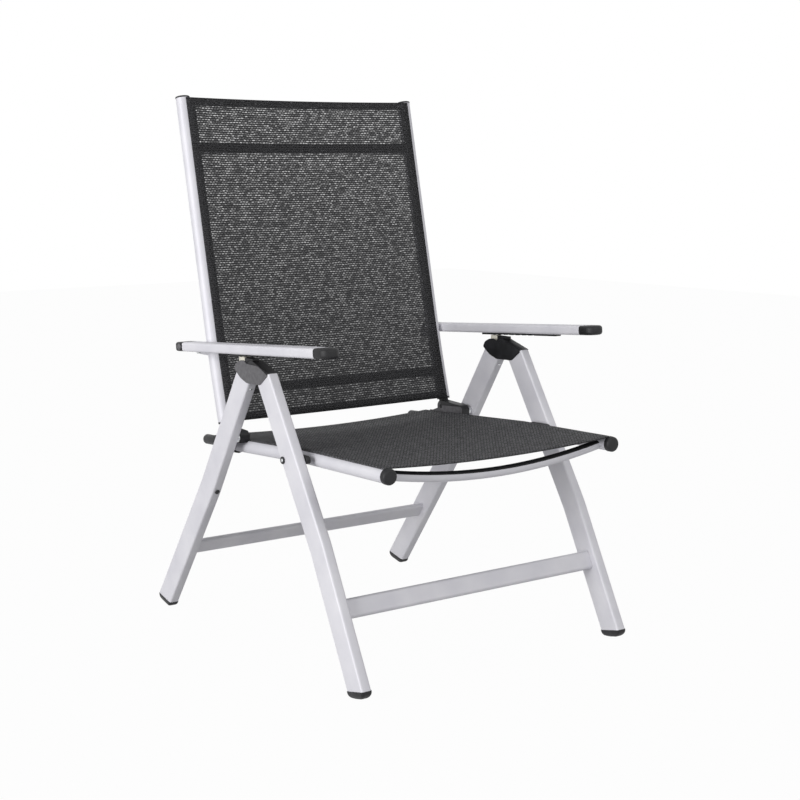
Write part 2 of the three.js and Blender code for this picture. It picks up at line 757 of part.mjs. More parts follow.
function backCurve(x) {
  const foot = backPivot.clone().addScaledVector(footHeading, backFootAbove);
  const places = [[backLumbarY, backLumbarZ], [backMiddleY, backMiddleZ], [backTopY, backTopZ]];
  const points = places.map(([y, z]) => new THREE.Vector3(x, y, z));
  return new THREE.CatmullRomCurve3([inSpace(x, foot), ...points], false, 'centripetal');
}

const backLine = backCurve(0);

// The curve's parameter at a height, by halving
function backShareAt(height) {
  let low = 0;
  let high = 1;
  for (let halving = 0; halving < halvings; halving++) {
    const middle = (low + high) / 2;
    if (backLine.getPoint(middle).z < height) low = middle;
    else high = middle;
  }
  return low;
}

function backTubeSolid(side, clearance) {
  return sweep(disc(backRadius + clearance), backCurve(side * backCentreX), backSteps, 8);
}

function backTube(side) {
  return sweep(ringSection(backRadius, backWall), backCurve(side * backCentreX), backSteps, 8);
}

function backFoot(side) {
  const x = side * backCentreX;
  const ends = [x - tongueThick / 2, x + tongueThick / 2];
  const heading = inSpace(0, footHeading);
  const pivot = inSpace(x, backPivot);
  const eye = new THREE.Shape().absarc(backPivotY, backPivotZ, tongueRadius, 0, Math.PI * 2);
  const across = inSpace(0, new THREE.Vector2(footHeading.y, -footHeading.x));
  const neck = block(roundedRectangle(2 * tongueRadius - seatGap, tongueThick, seatGap), pivot, heading,
    backFootAbove - seatGap, across, 1);
  const inner = backRadius - backWall - seatGap;
  const flangeAt = backFootAbove - footFlangeThick - seatGap;
  const profile = [[0, flangeAt], [backRadius, flangeAt], [backRadius, backFootAbove - seatGap],
    [inner, backFootAbove - seatGap], [inner, backFootAbove + plugDepth], [0, backFootAbove + plugDepth]];
  const body = join(sidePlate(eye, ...ends, 10), neck, turned(profile, pivot, heading));
  return cut(body, rodAlongX(boltRadius + seatGap, backPivotY, backPivotZ,
    x - tongueThick, x + tongueThick));
}

function backPlug(side) {
  const end = backLine.getPoint(1);
  const heading = backLine.getTangent(1);
  const inner = backRadius - backWall - seatGap;
  const outer = backRadius + capBulge / 2;
  const profile = [[0, -plugDepth], [inner, -plugDepth], [inner, seatGap], [outer, seatGap],
    ...domeProfile(outer, backPlugHeight / 2, backPlugHeight / 2, 3)];
  return turned(profile, end.setX(side * backCentreX), heading);
}

function crossTube(height) {
  const at = backLine.getPoint(backShareAt(height));
  const ends = [-backCentreX, backCentreX].map((x) => new THREE.Vector3(x, at.y, at.z));
  const pull = new THREE.Vector3(0, at.y + 2 * crossBow, at.z);
  const curve = new THREE.QuadraticBezierCurve3(ends[0], pull, ends[1]);
  const tube = sweep(ringSection(crossRadius, crossWall), curve, bowSteps, 6);
  return cut(tube, backTubeSolid(-1, seatGap), backTubeSolid(1, seatGap));
}

function armLug(side) {
  const at = backLine.getPoint(backShareAt(crankZ));
  const shape = new THREE.Shape();
  shape.absarc(armPivotY, crankZ, lugTall / 2, -Math.PI / 2, Math.PI / 2);
  shape.lineTo(at.y, crankZ + lugTall / 2);
  shape.lineTo(at.y, crankZ - lugTall / 2);
  const outerX = crankInnerX - seatGap;
  const innerX = crankOuterX - lugThick;
  const plate = sidePlate(shape, side * innerX, side * outerX, 6);
  const bore = rodAlongX(boltRadius + seatGap, armPivotY, crankZ,
    side * (innerX - cutOverrun), side * (outerX + cutOverrun));
  return cut(plate, backTubeSolid(side, seatGap), bore);
}

function buffer(side) {
  const along = (bufferZ - rearBendZ) / rearLine.upper.y;
  const at = inSpace(side * legCentreX, rearLine.bend).addScaledVector(inSpace(0, rearLine.upper), along);
  const forward = inSpace(0, new THREE.Vector2(-rearLine.upper.y, rearLine.upper.x));
  const seat = at.addScaledVector(forward, legDeep / 2 + seatGap);
  const half = bufferHeight / 2;
  return turned([[0, 0], [bufferRadius, 0], ...domeProfile(bufferRadius, half, half, 3)], seat, forward);
}

// Slings: thin sheets given by their outer face and the way through it
function sheet(columns, rows, outer, inward) {
  const positions = [];
  const index = [];
  const across = columns + 1;
  const layer = across * (rows + 1);
  for (const depth of [0, slingThick]) {
    for (let row = 0; row <= rows; row++) {
      for (let column = 0; column <= columns; column++) {
        const point = outer(column / columns, row / rows);
        point.addScaledVector(inward(row / rows), depth);
        positions.push(point.x, point.y, point.z);
      }
    }
  }
  const quad = (a, b, c, d) => index.push(a, b, c, a, c, d);
  for (let row = 0; row < rows; row++) {
    for (let column = 0; column < columns; column++) {
      const a = row * across + column;
      quad(a, a + 1, a + across + 1, a + across);
      quad(layer + a, layer + a + across, layer + a + across + 1, layer + a + 1);
    }
  }
  for (let column = 0; column < columns; column++) {
    const far = rows * across + column;
    quad(column, layer + column, layer + column + 1, column + 1);
    quad(far, far + 1, layer + far + 1, layer + far);
  }
  for (let row = 0; row < rows; row++) {
    const left = row * across;
    const right = left + columns;
    quad(left, left + across, layer + left + across, layer + left);
    quad(right, layer + right, layer + right + across, right + across);
  }
  const geometry = new THREE.BufferGeometry();
  geometry.setAttribute('position', new THREE.BufferAttribute(new Float32Array(positions), 3));
  geometry.setIndex(index);
  geometry.computeVertexNormals();
  return geometry;
}

function seatSling() {
  const frontY = railFrontY + seatSlingFrontInset;
  const rearY = railRearY - seatSlingRearInset;
  const down = new THREE.Vector3(0, 0, -1);
  const outer = (u, v) => {
    const across = 2 * u - 1;
    const y = frontY + (rearY - frontY) * v;
    const z = railHeight(y) + railRadius + 2 * seatGap + slingThick - seatSag * (1 - across * across);
    return new THREE.Vector3(railCentreX * across, y, z);
  };
  return sheet(slingColumns, slingRows, outer, () => down);
}

function backSling() {
  const low = backShareAt(backSlingBottomZ);
  const high = backShareAt(backTopZ - backSlingTopInset);
  const rearward = (v) => {
    const heading = backLine.getTangent(low + (high - low) * v);
    return new THREE.Vector3(0, heading.z, -heading.y);
  };
  const outer = (u, v) => {
    const across = 2 * u - 1;
    const point = backLine.getPoint(low + (high - low) * v);
    point.x = backCentreX * across;
    const behind = backHollow * (1 - across * across) - backRadius - seatGap - slingThick;
    return point.addScaledVector(rearward(v), behind);
  };
  return sheet(slingColumns, slingRows, outer, rearward);
}

for (const [name, side] of sides) {
  place(`hinge_bracket_${name}`, bracket(side), 'blackPlastic');
  place(`hinge_bolt_${name}`, hingeBolt(side), 'steel');
  place(`rear_leg_pin_${name}`, legPin(side), 'steel');
  place(`leg_buffer_${name}`, buffer(side), 'blackPlastic');
  place(`back_tube_${name}`, backTube(side), 'aluminium');
  place(`back_foot_${name}`, backFoot(side), 'blackPlastic');
  place(`back_plug_${name}`, backPlug(side), 'blackPlastic');
  place(`armrest_lug_${name}`, armLug(side), 'aluminium');
}
place('back_upper_bar', crossTube(upperCrossZ), 'aluminium');
place('back_lower_bar', crossTube(lowerCrossZ), 'aluminium');
place('seat_sling', seatSling(), 'sling');
place('back_sling', backSling(), 'sling');

// The origin is at floor level, in the middle of the chair's outline
const outline = new THREE.Box3().setFromObject(chair);
chair.position.y = -(outline.min.y + outline.max.y) / 2;

export default chair;
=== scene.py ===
import json
import math

import bpy
from mathutils import Matrix, Vector


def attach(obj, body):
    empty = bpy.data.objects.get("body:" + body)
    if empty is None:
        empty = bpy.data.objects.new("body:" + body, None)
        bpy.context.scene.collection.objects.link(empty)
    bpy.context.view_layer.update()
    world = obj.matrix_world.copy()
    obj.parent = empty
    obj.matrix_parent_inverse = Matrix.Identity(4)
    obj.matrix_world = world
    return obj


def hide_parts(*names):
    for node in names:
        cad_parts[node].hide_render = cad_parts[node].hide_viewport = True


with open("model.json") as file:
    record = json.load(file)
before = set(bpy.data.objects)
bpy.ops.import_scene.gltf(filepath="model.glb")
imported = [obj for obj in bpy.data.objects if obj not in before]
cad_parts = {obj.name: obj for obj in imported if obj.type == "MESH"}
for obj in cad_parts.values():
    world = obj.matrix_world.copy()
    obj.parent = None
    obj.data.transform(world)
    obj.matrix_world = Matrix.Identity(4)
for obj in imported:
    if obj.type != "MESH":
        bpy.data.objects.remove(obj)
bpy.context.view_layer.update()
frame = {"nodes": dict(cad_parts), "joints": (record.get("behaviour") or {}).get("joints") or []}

# FRONT LEGS. Flat aluminium tube with rounded corners, bent a little below the middle, satin anodised.
# Sizes are in mm, on the part's own drawing, whose Y is 25 mm off the frame's; at() gives the frame's
# place. Where two pieces meet, a gap of 0.3 mm keeps their faces apart.
mm = 0.001
gap = 0.3
sides = {"left": -1, "right": 1}
knuckle_y = -3
drawing_shift = frame["joints"][0]["pos_m"][1] - knuckle_y * mm
leg_thick, leg_deep, leg_corner = 21, 49, 4
leg_centre_x, leg_inner_x, leg_outer_x = 303.5, 293, 314
leg_top_z, leg_bend_radius, leg_spare = 535, 260, 20
foot_height, foot_slant = 14.5, math.radians(13)
smooth_angle = math.radians(35)


def at(x, y, z):
    return Vector((x * mm, y * mm + drawing_shift, z * mm))


def tone(code):
    parts = [int(code[i:i + 2], 16) / 255 for i in (1, 3, 5)]
    return [p / 12.92 if p <= 0.04045 else ((p + 0.055) / 1.055) ** 2.4 for p in parts] + [1]


def finish(name, colour, metallic, roughness):
    made = bpy.data.materials.new(name)
    made.use_nodes = True
    shader = made.node_tree.nodes["Principled BSDF"]
    shader.inputs["Base Color"].default_value = tone(colour)
    shader.inputs["Metallic"].default_value = metallic
    shader.inputs["Roughness"].default_value = roughness
    return made, made.node_tree, shader


def add(tree, kind, inputs=None, **settings):
    made = tree.nodes.new("ShaderNode" + kind)
    for name, value in settings.items():
        setattr(made, name, value)
    for name, value in (inputs or {}).items():
        if isinstance(value, bpy.types.NodeSocket):
            tree.links.new(value, made.inputs[name])
        else:
            made.inputs[name].default_value = value
    return made


# Anodised aluminium: a pale, faintly cool grey, matt from etching, slightly cloudy and finely grained.
aluminium, tree, shader = finish("anodised_aluminium", "#dcdbe1", 0.15, 0.55)
place = add(tree, "TexCoord").outputs["Object"]
cloud = add(tree, "TexNoise", {"Vector": place, "Scale": 14.0, "Detail": 3.0}).outputs["Fac"]
shade = add(tree, "ValToRGB", {"Fac": cloud})
shade.color_ramp.elements[0].color = tone("#d3d2d9")
shade.color_ramp.elements[0].position = 0.3
shade.color_ramp.elements[1].color = tone("#e2e1e6")
shade.color_ramp.elements[1].position = 0.75
tree.links.new(shade.outputs["Color"], shader.inputs["Base Color"])
grain = add(tree, "TexNoise", {"Vector": place, "Scale": 900.0, "Detail": 2.0}).outputs["Fac"]
gloss = add(tree, "MapRange", {"Value": cloud, "To Min": 0.5, "To Max": 0.62}).outputs["Result"]
tree.links.new(gloss, shader.inputs["Roughness"])
relief = add(tree, "Bump", {"Height": grain, "Strength": 0.12, "Distance": 0.0002}).outputs["Normal"]
tree.links.new(relief, shader.inputs["Normal"])


def clear():
    if bpy.context.object and bpy.context.object.mode == "EDIT":
        bpy.ops.object.mode_set(mode="OBJECT")
    bpy.ops.object.select_all(action="DESELECT")


def applied(**parts):
    bpy.ops.object.transform_apply(**{"location": False, "rotation": False, "scale": False, **parts})


def flat_section(width, deep, corner, segments=6):
    clear()
    bpy.ops.mesh.primitive_plane_add(size=1)
    bpy.context.object.scale = (width * mm, deep * mm, 1)
    applied(scale=True)
    bpy.ops.object.mode_set(mode="EDIT")
    bpy.ops.mesh.select_all(action="SELECT")
    bpy.ops.mesh.bevel(offset=corner * mm, segments=segments, affect="VERTICES")
    bpy.ops.object.mode_set(mode="OBJECT")


def round_section(radius, points=40):
    clear()
    bpy.ops.mesh.primitive_circle_add(vertices=points, radius=radius * mm, fill_type="NGON")


def aim(start, direction):
    piece = bpy.context.object
    piece.rotation_mode = "QUATERNION"
    sideways = Vector((1, 0, 0)) if abs(direction.x) < 0.9 else Vector((0, 1, 0))
    up = direction.normalized()
    back = up.cross(sideways).normalized()
    piece.rotation_quaternion = Matrix((back.cross(up), back, up)).transposed().to_quaternion()
    piece.location = start
    applied(location=True, rotation=True)
    bpy.ops.object.mode_set(mode="EDIT")
    bpy.ops.mesh.select_all(action="SELECT")


def pull(step):
    bpy.ops.mesh.extrude_region_move(TRANSFORM_OT_translate={"value": step})


def follow(route, axis="X"):
    steps = [b - a for a, b in zip(route, route[1:])]
    headings = [steps[0]] + [(a.normalized() + b.normalized()) for a, b in zip(steps, steps[1:])]
    headings.append(steps[-1])
    aim(route[0], headings[0])
    for before, after, step, spot in zip(headings, headings[1:], steps, route[1:]):
        pull(step)
        turn = before.angle(after) * math.copysign(1, before.cross(after)["XYZ".index(axis)])
        if abs(turn) > 1e-5:
            bpy.ops.transform.rotate(value=-turn, orient_axis=axis, center_override=spot)


def bent(corners, radius, steps):
    before, corner, after = corners
    into, out = (corner - before).normalized(), (after - corner).normalized()
    angle = into.angle(out)
    reach = radius * mm * math.tan(angle / 2)
    inward = (out - into).normalized()
    centre = corner + inward * (radius * mm / math.cos(angle / 2))
    first = corner - into * reach - centre
    axis = into.cross(out).normalized()
    arc = [centre + Matrix.Rotation(angle * i / steps, 3, axis) @ first for i in range(steps + 1)]
    return [before] + arc + [after]


def bevel_sharp(width, segments, sharper):
    bpy.ops.mesh.select_all(action="DESELECT")
    bpy.ops.mesh.edges_select_sharp(sharpness=sharper)
    bpy.ops.mesh.bevel(offset=width * mm, segments=segments, affect="EDGES")


def done(name, body, material, finish_slot, *nodes):
    clear()
    piece = bpy.context.view_layer.objects.active
    piece.select_set(True)
    bpy.ops.object.mode_set(mode="EDIT")
    bpy.ops.mesh.select_all(action="SELECT")
    bpy.ops.mesh.remove_doubles(threshold=1e-6)
    bpy.ops.mesh.normals_make_consistent(inside=False)
    bpy.ops.object.mode_set(mode="OBJECT")
    bpy.ops.object.shade_smooth_by_angle(angle=smooth_angle)
    piece.name = piece.data.name = name
    piece.data.materials.clear()
    piece.data.materials.append(material)
    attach(piece, body)
    if nodes:
        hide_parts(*nodes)
    return piece


def leg_line(foot_y, bend_y, bend_z, top_y):
    foot, bend, top = Vector((0, foot_y, 0)), Vector((0, bend_y, bend_z)), Vector((0, top_y, leg_top_z))
    return {"foot": foot, "bend": bend, "top": top, "lower": (bend - foot).normalized(),
            "upper": (top - bend).normalized()}


def foot_joint(line):
    slant = Matrix.Rotation(-math.copysign(foot_slant, line["lower"].y), 3, "X")
    return line["foot"] + line["lower"] * (foot_height / line["lower"].z), slant


def leg(end, side, line):
    x, low = sides[side] * leg_centre_x, line["foot"] - line["lower"] * leg_spare
    flat_section(leg_thick, leg_deep, leg_corner)
    follow(bent([at(x, p.y, p.z) for p in (low, line["bend"], line["top"])], leg_bend_radius, 8))
    spot, slant = foot_joint(line)
    bpy.ops.mesh.select_all(action="SELECT")
    bpy.ops.mesh.bisect(plane_co=at(x, spot.y, spot.z), plane_no=slant @ Vector((0, 0, 1)),
                        use_fill=True, clear_inner=True)
    return done(f"{end}_leg_{side}_tube", f"{end}_leg_frame", aluminium, "aluminium", f"{end}_leg_{side}")


front_line = leg_line(foot_y=-352, bend_y=-225.5, bend_z=246.6, top_y=-46)
for side in sides:
    leg("front", side, front_line)

# REAR LEGS. The same tube, bent the other way, so that the two frames cross the floor 756 mm apart.
rear_line = leg_line(foot_y=404, bend_y=186.5, bend_z=293.9, top_y=29.6)
for side in sides:
    leg("rear", side, rear_line)

# FEET. Moulded black plastic caps over the legs' lower ends: a rim and a rounded bowl, square to the
# slanted end of the leg and cut level with the floor.
# Moulded polypropylene: black with a soft sheen, a fine spark texture and slightly paler patches.
black_plastic, tree, shader = finish("moulded_polypropylene_black", "#17171a", 0.0, 0.5)
shader.inputs["Specular IOR Level"].default_value = 0.35
place = add(tree, "TexCoord").outputs["Object"]
patches = add(tree, "TexNoise", {"Vector": place, "Scale": 60.0, "Detail": 4.0}).outputs["Fac"]
shade = add(tree, "ValToRGB", {"Fac": patches})
shade.color_ramp.elements[0].color = tone("#121214")
shade.color_ramp.elements[0].position = 0.35
shade.color_ramp.elements[1].color = tone("#232326")
shade.color_ramp.elements[1].position = 0.75
tree.links.new(shade.outputs["Color"], shader.inputs["Base Color"])
spark = add(tree, "TexVoronoi", {"Vector": place, "Scale": 700.0}).outputs["Distance"]
relief = add(tree, "Bump", {"Height": spark, "Strength": 0.25, "Distance": 0.0002}).outputs["Normal"]
tree.links.new(relief, shader.inputs["Normal"])

foot_flange, foot_rim, foot_stretch = 1.0, 1.4, 1.03
bowl_deep, bowl_in, bowl_back, bowl_steps, bowl_arc = 12.5, 7.5, 17, 7, 82
for end, line in (("front", front_line), ("rear", rear_line)):
    for side in sides:
        spot, slant = foot_joint(line)
        wide, deep = leg_thick + 2 * foot_flange, leg_deep * foot_stretch + 2 * foot_flange
        flat_section(wide, deep, leg_corner + foot_flange)
        bpy.ops.object.mode_set(mode="EDIT")
        bpy.ops.mesh.select_all(action="SELECT")
        pull((0, 0, -foot_rim * mm))
        fall, across, back = 0, 1, 1
        for step in range(1, bowl_steps + 1):
            angle = math.radians(bowl_arc * step / bowl_steps)
            pull((0, 0, (fall - bowl_deep * math.sin(angle)) * mm))
            fall = bowl_deep * math.sin(angle)
            now = (1 - 2 * bowl_in * (1 - math.cos(angle)) / wide,
                   1 - 2 * bowl_back * (1 - math.cos(angle)) / deep)
            bpy.ops.transform.resize(value=(now[0] / across, now[1] / back, 1))
            across, back = now
        bpy.ops.object.mode_set(mode="OBJECT")
        piece = bpy.context.object
        piece.rotation_mode = "QUATERNION"
        piece.rotation_quaternion = slant.to_quaternion()
        piece.location = at(sides[side] * leg_centre_x, spot.y, spot.z)
        applied(location=True, rotation=True)
        bpy.ops.object.mode_set(mode="EDIT")
        bpy.ops.mesh.select_all(action="SELECT")
        bpy.ops.mesh.bisect(plane_co=(0, 0, 0), plane_no=(0, 0, -1), clear_outer=True, use_fill=True)
        done(f"{end}_foot_{side}_cap", f"{end}_leg_frame", black_plastic, "black_plastic",
             f"{end}_foot_{side}")

# STRETCHERS. Flat oval aluminium tube, cut square and welded between the two legs of a frame.
stretcher_tall, stretcher_thick, stretcher_forward = 37, 13, 3.5
for end, line, up in (("front", front_line, 161), ("rear", rear_line, 182)):
    ahead = line["lower"]
    forward = -ahead.cross(Vector((1, 0, 0)))
    middle = line["foot"] + ahead * up - forward * (stretcher_forward * math.copysign(1, forward.y))
    half = leg_inner_x - gap
    flat_section(stretcher_tall, stretcher_thick, stretcher_thick / 2 - gap, segments=10)
    piece = bpy.context.object
    turn = Matrix((ahead, Vector((1, 0, 0)).cross(ahead), Vector((1, 0, 0)))).transposed()
    piece.rotation_mode = "QUATERNION"
    piece.rotation_quaternion = turn.to_quaternion()
    piece.location = at(-half, middle.y, middle.z)
    applied(location=True, rotation=True)
    bpy.ops.object.mode_set(mode="EDIT")
    bpy.ops.mesh.select_all(action="SELECT")
    pull((2 * half * mm, 0, 0))
    done(f"{end}_stretcher_tube", f"{end}_leg_frame", aluminium, "aluminium", f"{end}_stretcher")

# KNUCKLES. Two moulded halves per side, lapped round a steel rivet, plugged into the legs' upper ends,
# and a flat cover over them on both faces, of one grey nylon: grey outside, and painted black inside as
# painted shade.
# Glass-filled nylon: mid grey and almost matt, with a slight mottle where the fibres meet the mould.
grey_plastic, tree, shader = finish("glass_filled_nylon_grey", "#5a595c", 0.0, 0.55)
place = add(tree, "TexCoord").outputs["Object"]
mottle = add(tree, "TexNoise", {"Vector": place, "Scale": 120.0, "Detail": 5.0}).outputs["Fac"]
shade = add(tree, "ValToRGB", {"Fac": mottle})
shade.color_ramp.elements[0].color = tone("#4d4c4f")
shade.color_ramp.elements[0].position = 0.3
shade.color_ramp.elements[1].color = tone("#676669")
shade.color_ramp.elements[1].position = 0.75
tree.links.new(shade.outputs["Color"], shader.inputs["Base Color"])
relief = add(tree, "Bump", {"Height": mottle, "Strength": 0.2, "Distance": 0.0003}).outputs["Normal"]
tree.links.new(relief, shader.inputs["Normal"])

# Zinc-plated steel: bright and smooth, with a faint milky bloom.
steel, tree, shader = finish("zinc_plated_steel", "#c4c6c8", 1.0, 0.28)
place = add(tree, "TexCoord").outputs["Object"]
bloom = add(tree, "TexNoise", {"Vector": place, "Scale": 300.0, "Detail": 3.0}).outputs["Fac"]
gloss = add(tree, "MapRange", {"Value": bloom, "To Min": 0.2, "To Max": 0.4}).outputs["Result"]
tree.links.new(gloss, shader.inputs["Roughness"])


# Widths of the bevels that round the moulded pieces' edges.
moulding_edge, small_edge, foot_edge, rack_edge, catch_edge = 0.8, 0.4, 0.6, 0.3, 0.7


def refined(node, edge, segments=2):
    clear()
    mesh = frame["nodes"][node].data.copy()
    piece = bpy.data.objects.new(node + "_moulding", mesh)
    bpy.context.scene.collection.objects.link(piece)
    bpy.context.view_layer.objects.active = piece
    piece.select_set(True)
    bpy.ops.object.mode_set(mode="EDIT")
    bpy.ops.mesh.select_all(action="SELECT")
    bpy.ops.mesh.remove_doubles(threshold=1e-5)
    bpy.ops.mesh.dissolve_limited(angle_limit=math.radians(1))
    bpy.ops.object.mode_set(mode="OBJECT")
    bevel = piece.modifiers.new("edges", "BEVEL")
    bevel.width, bevel.segments, bevel.angle_limit = edge * mm, segments, math.radians(30)
    bpy.ops.object.modifier_apply(modifier=bevel.name)


def moulded(node, edge, body, material, finish_slot, segments=2):
    refined(node, edge, segments)
    return done(node + "_moulding", body, material, finish_slot, node)


def keeps(material, *nodes):
    for node in nodes:
        for i in range(len(frame["nodes"][node].material_slots)):
            frame["nodes"][node].material_slots[i].material = material


cover_outline = [(58, 545), (52, 556), (38, 563), (20, 565), (14, 559.5), (-32, 558.5), (-66, 544.6),
                 (-37, 523.5), (12, 522), (36, 530)]
cover_thick, cover_gap, cover_corner, cover_edge = 2.2, 0.1, 4, 1
for side, way in sides.items():
    for end in ("front", "rear"):
        moulded(f"{end}_knuckle_{side}", moulding_edge, f"{end}_leg_frame", black_plastic, "black_plastic")
    keeps(steel, f"knuckle_rivet_{side}")
    # The outer cover is grey; the inner cover is painted black as painted shade on the same grey nylon.
    for name, x, outward, material, slot in (
            ("cover", leg_outer_x + cover_gap, way, grey_plastic, "grey_plastic"),
            ("inner_cover_painted_shade", leg_inner_x - cover_gap, -way, black_plastic, "black_plastic")):
        clear()
        bpy.ops.mesh.primitive_circle_add(vertices=len(cover_outline), fill_type="NGON")
        for vertex, (y, z) in zip(bpy.context.object.data.vertices, cover_outline):
            vertex.co = at(way * x, y, z)
        bpy.ops.object.mode_set(mode="EDIT")
        bpy.ops.mesh.select_all(action="SELECT")
        bpy.ops.mesh.bevel(offset=cover_corner * mm, segments=4, affect="VERTICES")
        bpy.ops.mesh.select_all(action="SELECT")
        pull((outward * cover_thick * mm, 0, 0))
        bpy.ops.mesh.region_to_loop()
        bpy.ops.mesh.bevel(offset=cover_edge * mm, segments=3, affect="EDGES")
        done(f"knuckle_{name}_{side}", "front_leg_frame", material, slot)

# KNUCKLE SCREWS. A small domed steel screw holds each rear knuckle in its leg, on the front face.
screw_radius, screw_tall, screw_edge, screw_below = 3, 1.6, 1.2, 15


def stud(radius, length, edge, start, direction, points=40, segments=5):
    round_section(radius, points)
    aim(start, direction)
    pull(direction.normalized() * length * mm)
    bpy.ops.mesh.region_to_loop()
    bpy.ops.mesh.bevel(offset=edge * mm, segments=segments, affect="EDGES")


for side in sides:
    down = -rear_line["upper"]
    face_out = Vector((0, down.z, -down.y))
    face_out = face_out if face_out.y < 0 else -face_out
    spot = rear_line["top"] + down * screw_below + face_out * (leg_deep / 2)
    stud(screw_radius, screw_tall, screw_edge, at(sides[side] * leg_centre_x, spot.y, spot.z), face_out,
         points=24, segments=4)
    done(f"knuckle_screw_{side}", "rear_leg_frame", steel, "steel")

# BUFFERS. Small dark studs on the rear legs' front faces, which the front legs meet when folded.
for side in sides:
    moulded(f"leg_buffer_{side}", small_edge, "rear_leg_frame", black_plastic, "black_plastic")
    keeps(steel, f"rear_leg_pin_{side}")

# SEAT RAILS. Round aluminium tube with a slight bend over the front legs' bolts, and black plastic ends:
# a domed cap in front, a collar with a long slimmer nose behind.
rail_radius, rail_x = 13.5, 260
rail_front, rail_pivot, rail_rear = (-372, 398), (-115, 393), (268, 371.6)
rail_bend_radius = 600
cap_bulge, cap_length, cap_edge = 1.2, 12.4, 5
nose_back, nose_inset, nose_less = 38, 0.6, 5.5
collar_long, collar_round, nose_round = 2, ((0.95, 1.5), (0.84, 1.2)), ((0.93, 1.6), (0.8, 1.2))
for side in sides:
    x = sides[side] * rail_x
    backward = (at(x, *rail_rear) - at(x, *rail_pivot)).normalized()
    tube_end = at(x, *rail_rear) - backward * nose_back * mm
    round_section(rail_radius)
    follow(bent([tube_end, at(x, *rail_pivot), at(x, *rail_front)], rail_bend_radius, 6))
    done(f"seat_rail_{side}_tube", "seat_frame", aluminium, "aluminium", f"seat_rail_{side}")
    forward = (at(x, *rail_front) - at(x, *rail_pivot)).normalized()
    stud(rail_radius + cap_bulge, cap_length, cap_edge, at(x, *rail_front) + forward * gap * mm, forward)
    done(f"rail_front_cap_{side}_plug", "seat_frame", black_plastic, "black_plastic",
         f"rail_front_cap_{side}")
    round_section(rail_radius)
    aim(tube_end + backward * gap * mm, backward)
    pull(backward * collar_long * mm)
    for fall, reach in collar_round:
        pull(backward * reach * mm)
        bpy.ops.transform.resize(value=(fall, fall, fall))
    bpy.ops.mesh.inset(thickness=nose_inset * mm)
    pull(backward * (nose_back + cap_length - nose_less) * mm)
    for fall, reach in nose_round:
        pull(backward * reach * mm)
        bpy.ops.transform.resize(value=(fall, fall, fall))
    done(f"rail_rear_cap_{side}_plug", "seat_frame", black_plastic, "black_plastic",
         f"rail_rear_cap_{side}")

# SEAT BOWS. Round tube, bowed down under the sling and welded between the rails. The front one has its
# upper side painted black, as painted shade: the shadow and dark reflection of the sling above it.
bow_radius, bow_drop, bow_ahead, bow_behind = 9.5, 26, 22, 30
bow_steps, weld_depth, painted_shade_reach = 28, 1, 0.47


def rail_height(y):
    end = rail_rear if y > rail_pivot[0] else rail_front
    return rail_pivot[1] + (y - rail_pivot[0]) * (end[1] - rail_pivot[1]) / (end[0] - rail_pivot[0])


for end, y in (("front", rail_front[0] + bow_ahead), ("rear", rail_rear[0] - bow_behind)):
    z, route = rail_height(y), []
    for step in range(bow_steps + 1):
        share = (step / bow_steps * 2 - 1) * (rail_x - rail_radius + weld_depth) / rail_x
        route.append(at(share * rail_x, y, z - bow_drop * (1 - share * share)))
    round_section(bow_radius)
    follow(route, "Y")
    bow = done(f"seat_{end}_bow_tube", "seat_frame", aluminium, "aluminium", f"seat_{end}_bow")
    # The front bow's upper faces take the black plastic as painted shade and reflection from the sling
    # above.
    if end == "front":
        bow.data.materials.append(black_plastic)
        for face in bow.data.polygons:
            face.material_index = 1 if face.normal.z > painted_shade_reach and abs(face.normal.x) < 0.9 else 0

# SEAT BOLTS AND SPACERS. A domed bolt through each front leg in a black washer, with a stepped black
# plastic spacer between the leg and the rail, and an oval wing on it. A stud's size is its radius,
# height and edge.
washer_size, dome_size, shank_radius = (7, 2.2, 0.9), (3.4, 3.2, 1.5), 4
neck_radius, neck_edge, collar_size = 6.5, 0.3, (9, 9, 0.8)
wing_tall, wing_long, wing_thick, wing_ahead, wing_up, wing_edge = 15, 58, 9, 20, 3, 1.5


def domed_bolt(name, body, x, y, z, way, reach, *nodes):
    outward = Vector((way, 0, 0))
    stud(*washer_size, at(x, y, z), outward)
    ring = bpy.context.object
    stud(*dome_size, at(x, y, z), outward)
    dome = bpy.context.object
    round_section(shank_radius, 24)
    aim(at(x, y, z) - outward * reach * mm, outward)
    pull(outward * (reach + 1) * mm)
    clear()
    shank = bpy.context.object
    for part, material in ((ring, black_plastic), (dome, steel), (shank, steel)):
        part.data.materials.append(material)
        part.select_set(True)
    bpy.context.view_layer.objects.active = dome
    bpy.ops.object.join()
    bpy.ops.object.shade_smooth_by_angle(angle=smooth_angle)
    dome.name = dome.data.name = name
    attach(dome, body)
    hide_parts(*nodes)


